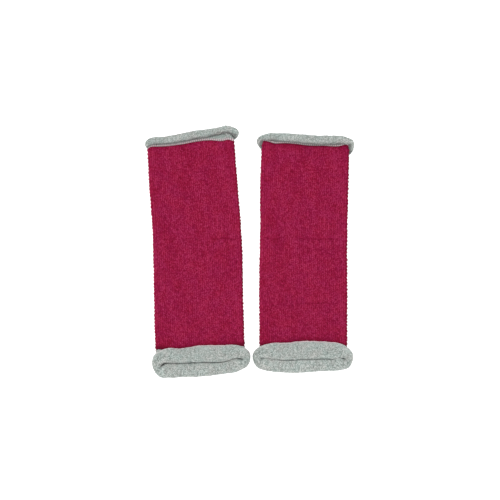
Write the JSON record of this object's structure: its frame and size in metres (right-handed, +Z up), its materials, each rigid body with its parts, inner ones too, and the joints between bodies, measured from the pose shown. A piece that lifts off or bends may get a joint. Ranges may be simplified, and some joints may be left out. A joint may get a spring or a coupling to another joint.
{
  "type": "pair of wrist warmers",
  "caption": "Pair of knitted tube wrist warmers laid flat side by side, each open at both ends with a contrasting band that has curled outwards into a soft rolled rim.",
  "frame": {"origin": "on the table, below the middle of the pair's bounding box", "axes": "+X across the two warmers, from the left one to the right one as seen from above with their thick lower rims towards the viewer; +Y along the tubes from the lower rims to the thinner upper rims; +Z up from the table"},
  "size_m": [0.2092, 0.265, 0.0202],
  "materials": {
    "raspberry_knit": "fine plain knit, matt, heathered raspberry with red and purple flecks",
    "silver_grey_knit": "fine plain knit showing its purl side, matt, speckled silver grey with a green tinge"
  },
  "bodies": {
    "root": {"left_tube": "raspberry_knit", "left_lower_cuff": "silver_grey_knit", "left_upper_cuff": "silver_grey_knit", "right_tube": "raspberry_knit", "right_lower_cuff": "silver_grey_knit", "right_upper_cuff": "silver_grey_knit"}
  },
  "joints": []
}
